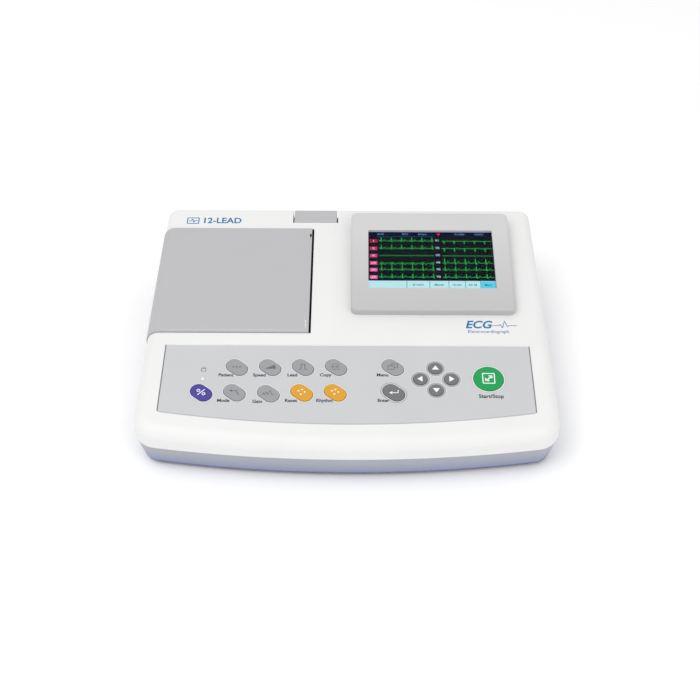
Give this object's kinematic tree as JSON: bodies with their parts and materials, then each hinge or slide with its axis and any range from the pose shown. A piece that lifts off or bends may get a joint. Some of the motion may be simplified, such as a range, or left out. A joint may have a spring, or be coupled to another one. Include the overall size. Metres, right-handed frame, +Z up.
{
  "type": "electrocardiograph",
  "caption": "Table ECG machine: wedge-shaped white case, thermal recorder under a hinged paper door, raised colour display, membrane keypad with raised keys.",
  "frame": {"origin": "on the table, under the middle of the bounding box", "axes": "+X to the user's right, +Y towards the back of the machine, +Z up"},
  "size_m": [0.3314, 0.251, 0.0852],
  "materials": {
    "case_white": "fine texture",
    "base_blue_grey": "fine texture",
    "door_grey": "fine texture",
    "bezel_grey": "satin",
    "overlay_film": "satin film",
    "key_grey": "satin",
    "key_dark": "satin",
    "key_purple": "satin",
    "key_yellow": "satin",
    "key_green": "satin",
    "clear_pane": "gloss",
    "screen": "gloss",
    "circuit_board": "solder mask",
    "rubber_dark": "matte",
    "platen_rubber": "matte",
    "black_plastic": "matte",
    "gear_plastic": "satin",
    "chassis_plastic": "matte",
    "steel": "brushed",
    "spring_steel": "polished",
    "zinc_screw": "plated",
    "brass_nickel": "machined",
    "alumina": "glazed ceramic",
    "head_aluminium": "satin",
    "battery_wrap": "shrink film",
    "lens": "clear"
  },
  "bodies": {
    "case": {"upper_housing": "case_white", "lower_housing": "base_blue_grey", "battery_cover": "base_blue_grey", "battery_pack": "battery_wrap", "rubber_feet": "rubber_dark", "speaker": "black_plastic", "keypad_overlay": "overlay_film", "keypad_board": "circuit_board", "key_domes": "spring_steel", "status_led": "lens", "display_bezel": "bezel_grey", "display_window": "clear_pane", "lcd_panel": "screen", "display_board": "circuit_board", "hinge_pin": "steel", "idler_axle": "steel", "feed_motor": "steel", "recorder_chassis": "chassis_plastic", "head_springs": "spring_steel", "tab_springs": "spring_steel", "latch_spring": "spring_steel", "main_board": "circuit_board", "power_supply_board": "circuit_board", "network_socket": "steel", "usb_socket": "steel", "mains_inlet": "black_plastic", "earth_terminal": "brass_nickel", "ecg_socket": "steel", "case_screws": "zinc_screw", "board_screws": "zinc_screw", "panel_screws": "zinc_screw", "cover_screws": "zinc_screw"},
    "door": {"paper_door": "door_grey", "platen_bushes": "brass_nickel"},
    "platen": {"platen_shaft": "steel", "platen_roller": "platen_rubber", "platen_gear": "gear_plastic"},
    "idler": {"idler_gear": "gear_plastic"},
    "pinion": {"motor_pinion": "brass_nickel", "motor_shaft": "steel"},
    "head": {"print_head": "alumina", "head_bracket": "head_aluminium"},
    "tab": {"release_tab": "door_grey"},
    "latch": {"latch_bar": "black_plastic"},
    "key_power_body": {"key_power": "key_purple"},
    "key_patient_body": {"key_patient": "key_grey"},
    "key_speed_body": {"key_speed": "key_grey"},
    "key_lead_body": {"key_lead": "key_grey"},
    "key_copy_body": {"key_copy": "key_grey"},
    "key_mode_body": {"key_mode": "key_grey"},
    "key_gain_body": {"key_gain": "key_grey"},
    "key_reset_body": {"key_reset": "key_yellow"},
    "key_rhythm_body": {"key_rhythm": "key_yellow"},
    "key_menu_body": {"key_menu": "key_grey"},
    "key_enter_body": {"key_enter": "key_dark"},
    "key_up_body": {"key_up": "key_dark"},
    "key_down_body": {"key_down": "key_dark"},
    "key_left_body": {"key_left": "key_dark"},
    "key_right_body": {"key_right": "key_dark"},
    "key_start_stop_body": {"key_start_stop": "key_green"}
  },
  "joints": [
    {"name": "door_hinge", "type": "hinge", "parent": "case", "child": "door", "pos_m": [-0.16208, -0.01684, 0.036], "axis": [-0.0181, -0.9998, 0], "range_deg": [0, 100]},
    {"name": "platen_spin", "type": "hinge", "parent": "door", "child": "platen", "pos_m": [-0.0388, 0.04266, 0.05354], "axis": [0, 0.9914, 0.1305], "continuous": true},
    {"name": "idler_spin", "type": "hinge", "parent": "case", "child": "idler", "pos_m": [-0.0388, -0.01284, 0.0308], "axis": [0, 0.9914, 0.1305], "continuous": true},
    {"name": "pinion_spin", "type": "hinge", "parent": "case", "child": "pinion", "pos_m": [-0.0388, -0.01116, 0.01801], "axis": [0, 0.9914, 0.1305], "continuous": true},
    {"name": "head_float", "type": "slide", "parent": "case", "child": "head", "axis": [1, 0, 0], "range_m": [0, 0.0008], "stiffness_N_per_m": 2000, "springref_m": -0.001, "deforming": ["head_springs"]},
    {"name": "tab_press", "type": "slide", "parent": "case", "child": "tab", "axis": [0, 0.1305, -0.9914], "range_m": [0, 0.002], "stiffness_N_per_m": 600, "springref_m": -0.001, "deforming": ["tab_springs"]},
    {"name": "latch_slide", "type": "slide", "parent": "case", "child": "latch", "axis": [1, 0, 0], "range_m": [0, 0.002], "stiffness_N_per_m": 300, "springref_m": -0.001, "deforming": ["latch_spring"]},
    {"name": "press_power", "type": "slide", "parent": "case", "child": "key_power_body", "axis": [0, 0.1305, -0.9914], "range_m": [0, 0.0006], "stiffness_N_per_m": 800, "springref_m": -0.0003},
    {"name": "press_patient", "type": "slide", "parent": "case", "child": "key_patient_body", "axis": [0, 0.1305, -0.9914], "range_m": [0, 0.0006], "stiffness_N_per_m": 800, "springref_m": -0.0003},
    {"name": "press_speed", "type": "slide", "parent": "case", "child": "key_speed_body", "axis": [0, 0.1305, -0.9914], "range_m": [0, 0.0006], "stiffness_N_per_m": 800, "springref_m": -0.0003},
    {"name": "press_lead", "type": "slide", "parent": "case", "child": "key_lead_body", "axis": [0, 0.1305, -0.9914], "range_m": [0, 0.0006], "stiffness_N_per_m": 800, "springref_m": -0.0003},
    {"name": "press_copy", "type": "slide", "parent": "case", "child": "key_copy_body", "axis": [0, 0.1305, -0.9914], "range_m": [0, 0.0006], "stiffness_N_per_m": 800, "springref_m": -0.0003},
    {"name": "press_mode", "type": "slide", "parent": "case", "child": "key_mode_body", "axis": [0, 0.1305, -0.9914], "range_m": [0, 0.0006], "stiffness_N_per_m": 800, "springref_m": -0.0003},
    {"name": "press_gain", "type": "slide", "parent": "case", "child": "key_gain_body", "axis": [0, 0.1305, -0.9914], "range_m": [0, 0.0006], "stiffness_N_per_m": 800, "springref_m": -0.0003},
    {"name": "press_reset", "type": "slide", "parent": "case", "child": "key_reset_body", "axis": [0, 0.1305, -0.9914], "range_m": [0, 0.0006], "stiffness_N_per_m": 800, "springref_m": -0.0003},
    {"name": "press_rhythm", "type": "slide", "parent": "case", "child": "key_rhythm_body", "axis": [0, 0.1305, -0.9914], "range_m": [0, 0.0006], "stiffness_N_per_m": 800, "springref_m": -0.0003},
    {"name": "press_menu", "type": "slide", "parent": "case", "child": "key_menu_body", "axis": [0, 0.1305, -0.9914], "range_m": [0, 0.0006], "stiffness_N_per_m": 800, "springref_m": -0.0003},
    {"name": "press_enter", "type": "slide", "parent": "case", "child": "key_enter_body", "axis": [0, 0.1305, -0.9914], "range_m": [0, 0.0006], "stiffness_N_per_m": 800, "springref_m": -0.0003},
    {"name": "press_up", "type": "slide", "parent": "case", "child": "key_up_body", "axis": [0, 0.1305, -0.9914], "range_m": [0, 0.0006], "stiffness_N_per_m": 800, "springref_m": -0.0003},
    {"name": "press_down", "type": "slide", "parent": "case", "child": "key_down_body", "axis": [0, 0.1305, -0.9914], "range_m": [0, 0.0006], "stiffness_N_per_m": 800, "springref_m": -0.0003},
    {"name": "press_left", "type": "slide", "parent": "case", "child": "key_left_body", "axis": [0, 0.1305, -0.9914], "range_m": [0, 0.0006], "stiffness_N_per_m": 800, "springref_m": -0.0003},
    {"name": "press_right", "type": "slide", "parent": "case", "child": "key_right_body", "axis": [0, 0.1305, -0.9914], "range_m": [0, 0.0006], "stiffness_N_per_m": 800, "springref_m": -0.0003},
    {"name": "press_start_stop", "type": "slide", "parent": "case", "child": "key_start_stop_body", "axis": [0, 0.1305, -0.9914], "range_m": [0, 0.0006], "stiffness_N_per_m": 800, "springref_m": -0.0003}
  ],
  "couplings": [
    {"joint": "idler_spin", "follows": "platen_spin", "ratio": -0.9},
    {"joint": "pinion_spin", "follows": "platen_spin", "ratio": 1.5},
    {"joint": "latch_slide", "follows": "tab_press", "ratio": 1}
  ]
}
